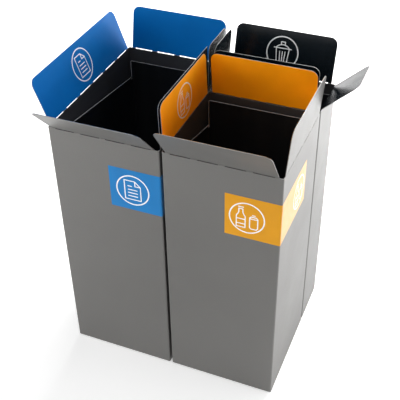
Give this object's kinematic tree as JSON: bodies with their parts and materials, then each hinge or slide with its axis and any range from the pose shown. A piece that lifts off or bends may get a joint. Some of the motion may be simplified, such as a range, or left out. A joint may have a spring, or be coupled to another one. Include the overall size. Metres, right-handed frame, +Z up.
{
  "type": "recycling bin station",
  "caption": "Block of open-topped folded sheet bins with bendable colour-coded flaps on slotted fold lines, lift-out liners and corner labels.",
  "frame": {"origin": "on the floor, under the middle of the overall box with the flaps as they stand at rest", "axes": "+X to the right of someone facing the station's front, +Y to its back, +Z up"},
  "size_m": [0.7184, 0.5544, 0.847],
  "materials": {
    "grey_paint": "satin metallic grey powder coat",
    "blue_lacquer": "satin blue paint on the flaps' inner faces, grey outside",
    "orange_lacquer": "satin orange paint on the flaps' inner faces, grey outside",
    "black_lacquer": "satin green-black paint on the flaps' inner faces, grey outside",
    "liner_plastic": "satin black folded polypropylene",
    "blue_vinyl": "satin printed film",
    "orange_vinyl": "satin printed film",
    "black_vinyl": "satin printed film",
    "rubber": "matte black rubber",
    "zinc": "bright zinc plate",
    "nylon": "matte black nylon"
  },
  "bodies": {
    "station": {"paper_shell": "grey_paint", "paper_base_pan": "grey_paint", "paper_label": "blue_vinyl", "paper_foot_1": "rubber", "paper_foot_2": "rubber", "paper_foot_3": "rubber", "paper_foot_4": "rubber", "packaging_shell": "grey_paint", "packaging_base_pan": "grey_paint", "packaging_label": "orange_vinyl", "packaging_foot_1": "rubber", "packaging_foot_2": "rubber", "packaging_foot_3": "rubber", "packaging_foot_4": "rubber", "waste_shell": "grey_paint", "waste_base_pan": "grey_paint", "waste_label": "black_vinyl", "waste_foot_1": "rubber", "waste_foot_2": "rubber", "waste_foot_3": "rubber", "waste_foot_4": "rubber", "bolt_1": "zinc", "nut_1": "zinc", "spacer_1": "nylon", "bolt_2": "zinc", "nut_2": "zinc", "spacer_2": "nylon", "bolt_3": "zinc", "nut_3": "zinc", "spacer_3": "nylon", "bolt_4": "zinc", "nut_4": "zinc", "spacer_4": "nylon", "bolt_5": "zinc", "nut_5": "zinc", "spacer_5": "nylon", "bolt_6": "zinc", "nut_6": "zinc", "spacer_6": "nylon"},
    "paper_flap_front": {"paper_flap_front": "blue_lacquer"},
    "paper_flap_right": {"paper_flap_right": "blue_lacquer"},
    "paper_flap_right_rear": {"paper_flap_right_rear": "blue_lacquer"},
    "paper_flap_back": {"paper_flap_back": "blue_lacquer"},
    "paper_flap_left": {"paper_flap_left": "blue_lacquer"},
    "paper_liner": {"paper_liner": "liner_plastic"},
    "packaging_flap_front": {"packaging_flap_front": "orange_lacquer"},
    "packaging_flap_right": {"packaging_flap_right": "orange_lacquer"},
    "packaging_flap_back": {"packaging_flap_back": "orange_lacquer"},
    "packaging_flap_left": {"packaging_flap_left": "orange_lacquer"},
    "packaging_liner": {"packaging_liner": "liner_plastic"},
    "waste_flap_front": {"waste_flap_front": "black_lacquer"},
    "waste_flap_right": {"waste_flap_right": "black_lacquer"},
    "waste_flap_back": {"waste_flap_back": "black_lacquer"},
    "waste_flap_left": {"waste_flap_left": "black_lacquer"},
    "waste_liner": {"waste_liner": "liner_plastic"}
  },
  "joints": [
    {"name": "paper_flap_front_fold", "type": "hinge", "parent": "station", "child": "paper_flap_front", "pos_m": [-0.17283, -0.19789, 0.73], "axis": [1, 0, 0], "range_deg": [-42.3, 47.7]},
    {"name": "paper_flap_right_fold", "type": "hinge", "parent": "station", "child": "paper_flap_right", "pos_m": [-0.02658, -0.05164, 0.73], "axis": [0, 1, 0], "range_deg": [-33.8, 0]},
    {"name": "paper_flap_right_rear_fold", "type": "hinge", "parent": "station", "child": "paper_flap_right_rear", "pos_m": [-0.02658, 0.17336, 0.73], "axis": [0, 1, 0], "range_deg": [-35.5, 0]},
    {"name": "paper_flap_back_fold", "type": "hinge", "parent": "station", "child": "paper_flap_back", "pos_m": [-0.17283, 0.24461, 0.73], "axis": [-1, 0, 0], "range_deg": [-12, 78]},
    {"name": "paper_flap_left_fold", "type": "hinge", "parent": "station", "child": "paper_flap_left", "pos_m": [-0.31908, 0.02336, 0.73], "axis": [0, -1, 0], "range_deg": [-19.7, 70.3]},
    {"name": "paper_liner_lift", "type": "slide", "parent": "station", "child": "paper_liner", "axis": [0, 0, 1], "range_m": [0, 0.85]},
    {"name": "packaging_flap_front_fold", "type": "hinge", "parent": "station", "child": "packaging_flap_front", "pos_m": [0.12717, -0.19789, 0.73], "axis": [1, 0, 0], "range_deg": [-35, 55]},
    {"name": "packaging_flap_right_fold", "type": "hinge", "parent": "station", "child": "packaging_flap_right", "pos_m": [0.27342, -0.05164, 0.73], "axis": [0, 1, 0], "range_deg": [-4.9, 85.1]},
    {"name": "packaging_flap_back_fold", "type": "hinge", "parent": "station", "child": "packaging_flap_back", "pos_m": [0.12717, 0.09461, 0.73], "axis": [-1, 0, 0], "range_deg": [0, 5.4]},
    {"name": "packaging_flap_left_fold", "type": "hinge", "parent": "station", "child": "packaging_flap_left", "pos_m": [-0.01908, -0.05164, 0.73], "axis": [0, -1, 0], "range_deg": [-37, 0]},
    {"name": "packaging_liner_lift", "type": "slide", "parent": "station", "child": "packaging_liner", "axis": [0, 0, 1], "range_m": [0, 0.85]},
    {"name": "waste_flap_front_fold", "type": "hinge", "parent": "station", "child": "waste_flap_front", "pos_m": [0.12717, 0.10211, 0.73], "axis": [1, 0, 0], "range_deg": [-4, 0]},
    {"name": "waste_flap_right_fold", "type": "hinge", "parent": "station", "child": "waste_flap_right", "pos_m": [0.27342, 0.17336, 0.73], "axis": [0, 1, 0], "range_deg": [-46.8, 43.2]},
    {"name": "waste_flap_back_fold", "type": "hinge", "parent": "station", "child": "waste_flap_back", "pos_m": [0.12717, 0.24461, 0.73], "axis": [-1, 0, 0], "range_deg": [-15.8, 74.2]},
    {"name": "waste_flap_left_fold", "type": "hinge", "parent": "station", "child": "waste_flap_left", "pos_m": [-0.01908, 0.17336, 0.73], "axis": [0, -1, 0], "range_deg": [-30, 5]},
    {"name": "waste_liner_lift", "type": "slide", "parent": "station", "child": "waste_liner", "axis": [0, 0, 1], "range_m": [0, 0.85]}
  ]
}
